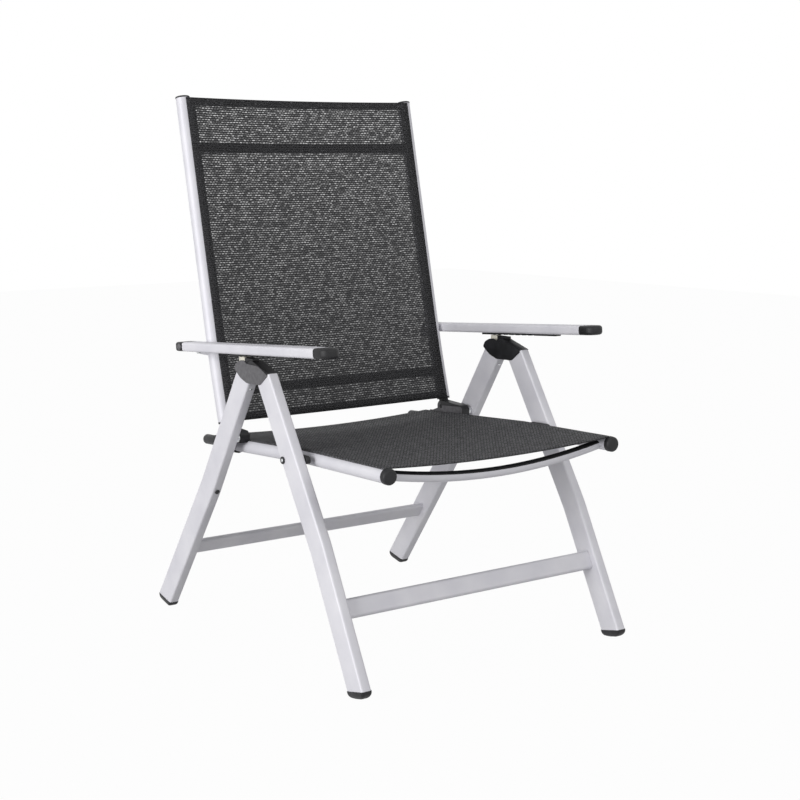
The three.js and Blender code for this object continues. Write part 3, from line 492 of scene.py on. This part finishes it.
for side, way in sides.items():
    outward = Vector((way, 0, 0))
    domed_bolt(f"seat_bolt_{side}_head", "seat_frame", way * (leg_outer_x + gap), *rail_pivot, way,
               leg_outer_x - rail_x, f"seat_bolt_{side}")
    neck = leg_inner_x - gap - rail_x - rail_radius + weld_depth
    start = at(way * (rail_x + rail_radius - weld_depth), *rail_pivot)
    stud(neck_radius, neck, neck_edge, start, outward, segments=2)
    thin = bpy.context.object
    stud(*collar_size, at(way * (leg_inner_x - gap - collar_size[1]), *rail_pivot), outward, segments=3)
    wide = bpy.context.object
    flat_section(wing_tall, wing_long, wing_tall / 2 - gap, segments=8)
    slope = (at(0, *rail_front) - at(0, *rail_pivot)).normalized()
    piece = bpy.context.object
    piece.rotation_mode = "QUATERNION"
    piece.rotation_quaternion = Matrix((Vector((1, 0, 0)).cross(slope), -slope, Vector((1, 0, 0)))
                                       ).transposed().to_quaternion()
    piece.location = (at(way * (leg_inner_x - gap), *rail_pivot) + slope * wing_ahead * mm
                      + Vector((0, 0, wing_up * mm)))
    applied(location=True, rotation=True)
    bpy.ops.object.mode_set(mode="EDIT")
    bpy.ops.mesh.select_all(action="SELECT")
    pull((-way * wing_thick * mm, 0, 0))
    bevel_sharp(wing_edge, 3, 0.9)
    clear()
    for part in (thin, wide, piece):
        part.select_set(True)
    bpy.context.view_layer.objects.active = wide
    bpy.ops.object.join()
    done(f"seat_spacer_{side}_bush", "seat_frame", black_plastic, "black_plastic", f"seat_spacer_{side}")

# HINGE BRACKETS. One black moulding per side that slides on the rail and holds the backrest's hinge
# between its cheeks. Its three parts are cut back in front, each by planes (a place and the side that
# goes), and its inner face behind is painted grey as painted light, where the lamp falls on the black
# moulding.
sleeve_top, sleeve_front = 391, 148
saddle_front, saddle_slant_z = 96, 406
cheek_x, cheek_front, cheek_slant = 262, 148, (160, 410)
painted_light_behind = 168
for side, way in sides.items():
    refined(f"hinge_bracket_{side}", moulding_edge)
    saddle = bpy.context.object
    sleeve = saddle.copy()
    sleeve.data = saddle.data.copy()
    bpy.context.scene.collection.objects.link(sleeve)
    cheek = saddle.copy()
    cheek.data = saddle.data.copy()
    bpy.context.scene.collection.objects.link(cheek)
    for part, cuts in (
            (saddle, [((0, 0, sleeve_top), (0, 0, -1)), ((way * cheek_x, 0, 0), (-way, 0, 0)),
                      ((0, saddle_front, 0), (0, -1, 0)), ((0, saddle_front, saddle_slant_z), (0, -1, 1))]),
            (cheek, [((0, 0, sleeve_top), (0, 0, -1)), ((way * cheek_x, 0, 0), (way, 0, 0)),
                     ((0, cheek_front, 0), (0, -1, 0)), ((0, *cheek_slant), (0, -0.5, 1))]),
            (sleeve, [((0, 0, sleeve_top), (0, 0, 1)), ((0, sleeve_front, 0), (0, -1, 0))])):
        clear()
        part.select_set(True)
        bpy.context.view_layer.objects.active = part
        bpy.ops.object.mode_set(mode="EDIT")
        for place, normal in cuts:
            bpy.ops.mesh.select_all(action="SELECT")
            bpy.ops.mesh.bisect(plane_co=at(*place), plane_no=normal, clear_outer=True, use_fill=True)
        bpy.ops.object.mode_set(mode="OBJECT")
    saddle.select_set(True)
    cheek.select_set(True)
    bpy.ops.object.join()
    bracket = done(f"hinge_bracket_{side}_moulding", "hinge_brackets", black_plastic, "black_plastic",
                   f"hinge_bracket_{side}")
    # The grey on the inner face behind is painted light on the black moulding.
    bracket.data.materials.append(grey_plastic)
    for face in bracket.data.polygons:
        inner = face.normal.x * way < -0.8 and face.center.y > at(0, painted_light_behind, 0).y
        face.material_index = 1 if inner else 0
    keeps(black_plastic, f"hinge_bolt_{side}")

# BACKREST. Two round aluminium tubes in one smooth curve through four points (y, z), on plastic feet
# that turn in the brackets, with flat plugs on top.
back_radius, back_x = 14, 274
back_pivot, lumbar, middle, top = (172, 403), (207, 535), (252, 735), (324, 1066)
foot_above, back_steps, back_skip = 20, 240, 6
plug_bulge, plug_tall, plug_edge = 0.6, 3, 1.4


def back_points(count):
    heading = (Vector(lumbar) - Vector(back_pivot)).normalized()
    knots = [Vector(back_pivot) + heading * foot_above, Vector(lumbar), Vector(middle), Vector(top)]
    knots = [2 * knots[0] - knots[1]] + knots + [2 * knots[-1] - knots[-2]]
    times = [0.0]
    for a, b in zip(knots, knots[1:]):
        times.append(times[-1] + (b - a).length ** 0.5)
    points = []
    for i in range(count + 1):
        place = 3 * i / count
        span = min(int(place), 2)
        p, t = knots[span:span + 4], times[span:span + 4]
        now = t[1] + (t[2] - t[1]) * (place - span)
        for reach in (1, 2):
            p = [p[k] * ((t[k + reach] - now) / (t[k + reach] - t[k]))
                 + p[k + 1] * ((now - t[k]) / (t[k + reach] - t[k])) for k in range(4 - reach)]
        points.append(p[0] * ((t[2] - now) / (t[2] - t[1])) + p[1] * ((now - t[1]) / (t[2] - t[1])))
    return points


back_line = back_points(back_steps)


def back_at(z):
    spot = min(range(1, back_steps), key=lambda i: abs(back_line[i].y - z))
    heading = (back_line[spot + 1] - back_line[spot - 1]).normalized()
    return back_line[spot] + heading * ((z - back_line[spot].y) / heading.y), heading


for side, way in sides.items():
    round_section(back_radius)
    follow([at(way * back_x, p.x, p.y) for p in back_line[::back_skip]])
    done(f"back_tube_{side}_tube", "backrest", aluminium, "aluminium", f"back_tube_{side}")
    moulded(f"back_foot_{side}", foot_edge, "backrest", black_plastic, "black_plastic")
    end = back_line[-1]
    heading = (back_line[-1] - back_line[-2]).normalized()
    along = Vector((0, heading.x, heading.y))
    stud(back_radius + plug_bulge, plug_tall, plug_edge,
         at(way * back_x, end.x, end.y) + along * gap * mm, along)
    done(f"back_plug_{side}_cap", "backrest", black_plastic, "black_plastic", f"back_plug_{side}")
    moulded(f"armrest_lug_{side}", foot_edge, "backrest", aluminium, "aluminium")

# CROSS BARS. Two round tubes behind the sling, bowed rearward and welded between the back tubes. The
# sling's sewn bands lie at the same two heights.
cross_radius, cross_bow, bar_heights = 10, 24, (478, 966)
for name, z in (("back_upper_bar", bar_heights[1]), ("back_lower_bar", bar_heights[0])):
    spot, _ = back_at(z)
    route = []
    for step in range(bow_steps + 1):
        share = (step / bow_steps * 2 - 1) * (back_x - back_radius + weld_depth) / back_x
        route.append(at(share * back_x, spot.x + cross_bow * (1 - share * share), z))
    round_section(cross_radius)
    follow(route, "Z")
    done(name + "_tube", "backrest", aluminium, "aluminium", name)

# ARMRESTS. Flat rounded aluminium tube, hinged behind the back tubes, with a rounded black cap in front,
# built longer and then cut where it meets the tube, and a flat black plug behind.
arm_wide, arm_tall, arm_corner, arm_x = 39, 18.5, 5, 309.5
arm_pivot, arm_slope = (258, 570), math.radians(3.83)
arm_rear, arm_heel, arm_front, arm_cap = 18, 9, 544, 37.5
arm_outer = arm_x + arm_wide / 2
tail_spare, tail_edge = 2.5, 4.5
cap_spare, cap_corner, cap_rounding = 12, 18, 6
arm_ahead = Vector((0, -math.cos(arm_slope), math.sin(arm_slope)))


def on_arm(x, along):
    return at(x, *arm_pivot) + arm_ahead * along * mm


for side, way in sides.items():
    body, x = f"{side}_armrest", way * arm_x
    flat_section(arm_wide, arm_tall, arm_corner)
    aim(on_arm(x, arm_heel), arm_ahead)
    pull(arm_ahead * (arm_front - arm_cap - arm_heel) * mm)
    done(f"armrest_{side}_tube", body, aluminium, "aluminium", f"armrest_{side}")
    flat_section(arm_wide, arm_tall, arm_corner)
    aim(on_arm(x, arm_heel - gap), -arm_ahead)
    pull(-arm_ahead * (arm_rear + tail_spare + arm_heel) * mm)
    bpy.ops.mesh.region_to_loop()
    bpy.ops.mesh.bevel(offset=tail_edge * mm, segments=6, affect="EDGES")
    done(f"armrest_rear_plug_{side}_plug", body, black_plastic, "black_plastic",
         f"armrest_rear_plug_{side}")
    clear()
    bpy.ops.mesh.primitive_plane_add(size=1)
    piece = bpy.context.object
    piece.scale = (arm_wide * mm, (arm_cap + cap_spare) * mm, 1)
    piece.location = (0, (cap_spare - arm_cap) / 2 * mm, -arm_tall / 2 * mm)
    applied(location=True, scale=True)
    bpy.ops.object.mode_set(mode="EDIT")
    bpy.ops.mesh.select_all(action="DESELECT")
    bpy.ops.object.mode_set(mode="OBJECT")
    for vertex in piece.data.vertices:
        vertex.select = vertex.co.y < 0
    bpy.ops.object.mode_set(mode="EDIT")
    bpy.ops.mesh.bevel(offset=cap_corner * mm, segments=10, affect="VERTICES")
    bpy.ops.mesh.select_all(action="SELECT")
    pull((0, 0, arm_tall * mm))
    bpy.ops.mesh.select_mode(type="EDGE")
    bevel_sharp(cap_rounding, 6, math.radians(60))
    bpy.ops.mesh.select_mode(type="VERT")
    bpy.ops.mesh.select_all(action="SELECT")
    bpy.ops.mesh.bisect(plane_co=(0, -gap * mm, 0), plane_no=(0, 1, 0), clear_outer=True, use_fill=True)
    bpy.ops.object.mode_set(mode="OBJECT")
    piece.rotation_euler.x = -arm_slope
    piece.location = on_arm(x, arm_front - arm_cap)
    applied(location=True, rotation=True)
    done(f"armrest_front_cap_{side}_nose", body, black_plastic, "black_plastic",
         f"armrest_front_cap_{side}")

# RACKS AND CATCHES. A notched black strip under each armrest rests on the peg of a moulded catch, black in
# front and pale behind.
# Acetal: cream, smooth and slightly waxy.
pale_plastic, tree, shader = finish("acetal_cream", "#dcd9cc", 0.0, 0.38)
place = add(tree, "TexCoord").outputs["Object"]
wax = add(tree, "TexNoise", {"Vector": place, "Scale": 90.0, "Detail": 3.0}).outputs["Fac"]
shade = add(tree, "ValToRGB", {"Fac": wax})
shade.color_ramp.elements[0].color = tone("#d0ccbc")
shade.color_ramp.elements[1].color = tone("#e4e1d6")
tree.links.new(shade.outputs["Color"], shader.inputs["Base Color"])
catch_split = 20
for side in sides:
    moulded(f"armrest_rack_{side}", rack_edge, f"{side}_armrest", black_plastic, "black_plastic",
            segments=1)
    refined(f"armrest_catch_{side}", catch_edge)
    bpy.ops.object.mode_set(mode="EDIT")
    bpy.ops.mesh.select_all(action="SELECT")
    bpy.ops.mesh.bisect(plane_co=at(0, catch_split, 0), plane_no=(0, 1, 0))
    catch = done(f"armrest_catch_{side}_moulding", "front_leg_frame", pale_plastic, "pale_plastic",
                 f"armrest_catch_{side}")
    catch.data.materials.append(black_plastic)
    for face in catch.data.polygons:
        face.material_index = 1 if face.center.y < at(0, catch_split, 0).y else 0

# ARMREST BOLTS. A cranked steel bolt in each armrest, whose grey head stands on a black washer outside.
arm_washer_size = (8.5, 1.2, 0.5)
for side, way in sides.items():
    bolt = moulded(f"armrest_bolt_{side}", rack_edge, f"armrest_pivot_{side}", steel, "steel", segments=1)
    bolt.data.materials.append(grey_plastic)
    for face in bolt.data.polygons:
        face.material_index = 1 if face.center.x * way > arm_outer * mm else 0
    stud(*arm_washer_size, at(way * (arm_outer + gap), *arm_pivot), Vector((way, 0, 0)))
    done(f"armrest_washer_{side}", f"armrest_pivot_{side}", black_plastic, "black_plastic")

# SLINGS. Black woven mesh of coated yarn, stretched between the tubes; light passes between the yarns.
# The weave is drawn about three times as coarse as the real one, which would be too fine to show. Its
# pattern is laid on the cloth's own UV map, in mm.
sling_thin, hem_thin = 0.8, 0.6
weave_pitch, weave_row, yarn_half, yarn_wander = 7.0, 4.6, 1.55, (4, 4, 0)
dim_opening_glint, bright_opening_glint = (0.3, 0.3, 0.3, 1), (0.82, 0.82, 0.82, 1)
seat_sag, back_hollow = 9, 12


# PVC-coated polyester yarn: dull black, either clouded or speckled with painted highlights where the light
# would catch single yarns.
# Some openings lie behind a yarn of the far side, so that they let less light through than others, and
# fewer let it through at the lower end of the cloth.
def weave(name, low, high, open_low=0.0, open_high=0.0, reach=1, painted_glints=True):
    made, tree, shader = finish(name, low, 0.0, 0.75)
    shader.inputs["Specular IOR Level"].default_value = 0.2
    place = add(tree, "UVMap", uv_map="cloth").outputs["UV"]
    wander = add(tree, "TexNoise", {"Vector": place, "Scale": 0.1, "Detail": 3.0}).outputs["Color"]
    loose = add(tree, "VectorMath", {0: wander, 1: yarn_wander}, operation="MULTIPLY").outputs["Vector"]
    woven = add(tree, "VectorMath", {0: place, 1: loose}, operation="ADD").outputs["Vector"]
    drawn = add(tree, "Mapping", {"Vector": woven, "Scale": (2, 1, 1)}).outputs["Vector"]
    yarns = add(tree, "TexBrick", {"Vector": drawn, "Scale": 1.0, "Mortar Size": yarn_half,
                "Mortar Smooth": 0.3, "Brick Width": 2 * weave_pitch, "Row Height": weave_row,
                "Color1": dim_opening_glint, "Color2": bright_opening_glint, "Mortar": (0, 0, 0, 1)},
                offset=0.5, squash=1.0)
    cloud = add(tree, "TexNoise", {"Vector": place, "Scale": 0.35, "Detail": 4.0}).outputs["Fac"]
    # With painted_glints, the ramp paints highlights from the weave's brick pattern; otherwise it follows a
    # random cloud.
    glint_or_cloud = yarns.outputs["Color"] if painted_glints else cloud
    shade = add(tree, "ValToRGB", {"Fac": glint_or_cloud})
    shade.color_ramp.elements[0].color = tone(low)
    shade.color_ramp.elements[0].position = 0.0 if painted_glints else 0.35
    shade.color_ramp.elements[1].color = tone(high)
    shade.color_ramp.elements[1].position = 1.0 if painted_glints else 0.65
    tree.links.new(shade.outputs["Color"], shader.inputs["Base Color"])
    relief = add(tree, "Bump", {"Height": yarns.outputs["Fac"], "Strength": 0.6, "Distance": 0.0006})
    tree.links.new(relief.outputs["Normal"], shader.inputs["Normal"])
    if open_high:
        height = add(tree, "SeparateXYZ", {"Vector": place}).outputs["Y"]
        share = add(tree, "MapRange", {"Value": height, "From Min": -reach / 2, "From Max": reach / 2,
                    "To Min": open_low, "To Max": open_high}).outputs["Result"]
        light = add(tree, "Math", {0: yarns.outputs["Color"], 1: share}, operation="MULTIPLY")
        solid = add(tree, "Math", {0: 1.0, 1: light.outputs[0]}, operation="SUBTRACT").outputs[0]
        tree.links.new(solid, shader.inputs["Alpha"])
    return made


back_low, back_high, back_long = 420, 1065, 660
back_cloth = weave("coated_polyester_mesh", "#1b1b1d", "#474749", open_low=0.62, open_high=1.05,
                   reach=back_long, painted_glints=False)
# The seat's and the hems' second tones are painted highlights on single yarns.
seat_cloth = weave("coated_polyester_mesh_dense", "#121213", "#a2a2a6", open_low=0.2, open_high=0.2)
hem_cloth = weave("coated_polyester_hem", "#4a4a4d", "#b8b8bc")


def cloth(name, columns, rows, width, length, spot, body, material, nodes=(), thick=sling_thin):
    clear()
    bpy.ops.mesh.primitive_grid_add(x_subdivisions=columns, y_subdivisions=rows, size=2)
    piece = bpy.context.object
    flat = [vertex.co.copy() for vertex in piece.data.vertices]
    grid = piece.data.uv_layers[0]
    grid.name = "cloth"
    for loop in piece.data.loops:
        share = flat[loop.vertex_index]
        grid.data[loop.index].uv = (share.x * width / 2, share.y * length / 2)
    for vertex, share in zip(piece.data.vertices, flat):
        vertex.co = spot((share.x + 1) / 2, (share.y + 1) / 2)
    bpy.ops.object.mode_set(mode="EDIT")
    bpy.ops.mesh.select_all(action="SELECT")
    bpy.ops.mesh.normals_make_consistent(inside=False)
    bpy.ops.object.mode_set(mode="OBJECT")
    shell = piece.modifiers.new("thickness", "SOLIDIFY")
    shell.thickness, shell.offset = thick * mm, 0
    bpy.ops.object.modifier_apply(modifier=shell.name)
    bpy.ops.object.shade_smooth()
    piece.name = piece.data.name = name
    piece.data.materials.clear()
    piece.data.materials.append(material)
    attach(piece, body)
    if nodes:
        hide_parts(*nodes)
    return piece


over_cap, bare_behind = 4, 42
seat_front_y, seat_rear_y = rail_front[0] - over_cap, rail_rear[0] - bare_behind
seat_ring, wrap_angle = rail_radius + 1.3, math.radians(28)
seat_wide, seat_long = 2 * (rail_x + seat_ring * wrap_angle), 602
back_wide, back_over = 2 * back_x, back_radius + 1.0


def seat_spot(u, v, lift=0.0):
    y = seat_front_y + (seat_rear_y - seat_front_y) * v
    over = seat_ring + lift
    place = (2 * u - 1) * seat_wide / 2
    beyond = (abs(place) - rail_x) / seat_ring
    if beyond > 0:
        x = math.copysign(rail_x + over * math.sin(beyond), place)
        return at(x, y, rail_height(y) + over * math.cos(beyond))
    return at(place, y, rail_height(y) + over - seat_sag * (1 - (place / rail_x) ** 2))


def back_spot(u, v, lift=0.0):
    across = 2 * u - 1
    spot, heading = back_at(back_low + (back_high - back_low) * v)
    behind = back_hollow * (1 - across * across) - back_over - lift
    return at(across * back_x, spot.x + heading.y * behind, spot.y - heading.x * behind)


seat_sling = cloth("seat_sling_mesh", 90, 48, seat_wide, seat_long, seat_spot, "seat_frame", seat_cloth,
                   ["seat_sling"])
back_sling = cloth("back_sling_mesh", 40, 60, back_wide, back_long, back_spot, "backrest", back_cloth,
                   ["back_sling"])


# HEMS. The mesh is folded back and welded along its edges, and a sewn band takes each cross bar. Each is
# a strip of its sling, from low to high along it and from left to right across it, and lies 1 mm under
# the seat's cloth or behind the back's.
def band(name, whole, low, high, left=0.0, right=1.0, lift=-1.0):
    spot, width, length, body = whole
    return cloth(name, 90 if right - left > 0.5 else 12, 60 if high - low > 0.5 else 6,
                 width * (right - left), length * (high - low),
                 lambda u, v: spot(left + (right - left) * u, low + (high - low) * v, lift),
                 body, hem_cloth, thick=hem_thin)


seat_whole = (seat_spot, seat_wide, seat_long, "seat_frame")
back_whole = (back_spot, back_wide, back_long, "backrest")
lower_bar, upper_bar = ((z - back_low) / (back_high - back_low) for z in bar_heights)
band_half = 0.013
seat_hems = [
    band("seat_hem_left", seat_whole, 0, 1, right=0.05),
    band("seat_hem_right", seat_whole, 0, 1, left=0.95),
    band("seat_hem_front", seat_whole, 0, 0.035),
    band("seat_hem_rear", seat_whole, 0.97, 1),
]
back_hems = [
    band("back_hem_left", back_whole, 0, 1, right=0.036),
    band("back_hem_right", back_whole, 0, 1, left=0.964),
    band("back_hem_top", back_whole, 0.975, 1),
    band("back_hem_bottom", back_whole, 0, 0.025),
    band("back_band_lower", back_whole, lower_bar - band_half, lower_bar + band_half),
    band("back_band_upper", back_whole, upper_bar - band_half, upper_bar + band_half),
]

# STAGE. A floor that looks white and keeps a trace of the chair's shadow, a white surround for the eye
# and in reflections, and soft studio lamps.
floor_glow, surround_light = 0.975, 0.42
floor_paint, tree, shader = finish("studio_floor_grey", "#a6a6a6", 0.0, 0.9)


def seen_directly(tree):
    ray = add(tree, "LightPath").outputs
    sharp = add(tree, "Math", {0: ray["Is Camera Ray"], 1: ray["Is Transmission Ray"]},
                operation="MAXIMUM").outputs[0]
    return add(tree, "Math", {0: sharp, 1: ray["Is Glossy Ray"]}, operation="MAXIMUM").outputs[0]


lit = add(tree, "Emission", {"Color": (1, 1, 1, 1), "Strength": 1.0})
share = add(tree, "Math", {0: seen_directly(tree), 1: floor_glow}, operation="MULTIPLY")
blend = add(tree, "MixShader", {0: share.outputs[0], 1: shader.outputs[0], 2: lit.outputs[0]})
tree.links.new(blend.outputs[0], tree.nodes["Material Output"].inputs[0])
clear()
bpy.ops.mesh.primitive_plane_add(size=14, location=(0, 2, -0.0005))
floor = bpy.context.object
floor.name = "studio_floor"
floor.data.materials.append(floor_paint)

world = bpy.data.worlds.new("studio")
bpy.context.scene.world = world
world.use_nodes = True
tree = world.node_tree
strength = add(tree, "MapRange", {"Value": seen_directly(tree), "To Min": surround_light, "To Max": 1.0})
tree.nodes["Background"].inputs["Color"].default_value = (1, 1, 1, 1)
tree.links.new(strength.outputs["Result"], tree.nodes["Background"].inputs["Strength"])


def lamp(name, watts, size, place, target=(0, 0, 0.5)):
    light = bpy.data.lights.new(name, "AREA")
    light.energy, light.size = watts, size
    holder = bpy.data.objects.new(name, light)
    bpy.context.scene.collection.objects.link(holder)
    holder.location = place
    holder.rotation_euler = (Vector(place) - Vector(target)).to_track_quat("Z", "Y").to_euler()


lamp("key_softbox", 262, 3.4, (-6.0, -1.1, 1.7))
lamp("front_softbox", 27, 2.4, (0.6, -3.6, 2.2))

camera = bpy.data.cameras.new("product_camera")
camera.lens, camera.sensor_width = 67.7, 36
view = bpy.data.objects.new("product_camera", camera)
bpy.context.scene.collection.objects.link(view)
yaw, pitch, roll = (math.radians(angle) for angle in (-35.23632, -8.64430, -0.34185))
ahead = Vector((math.sin(-yaw) * math.cos(pitch), math.cos(-yaw) * math.cos(pitch), math.sin(pitch)))
right = ahead.cross(Vector((0, 0, 1))).normalized()
up = right.cross(ahead)
right, up = (right * math.cos(roll) + up * math.sin(roll), up * math.cos(roll) - right * math.sin(roll))
view.matrix_world = Matrix.Translation(at(-1707.5, -2461.9, 917.5)) @ Matrix(
    (right, up, -ahead)).transposed().to_4x4()
bpy.context.scene.camera = view
bpy.context.scene.view_settings.view_transform = "Standard"
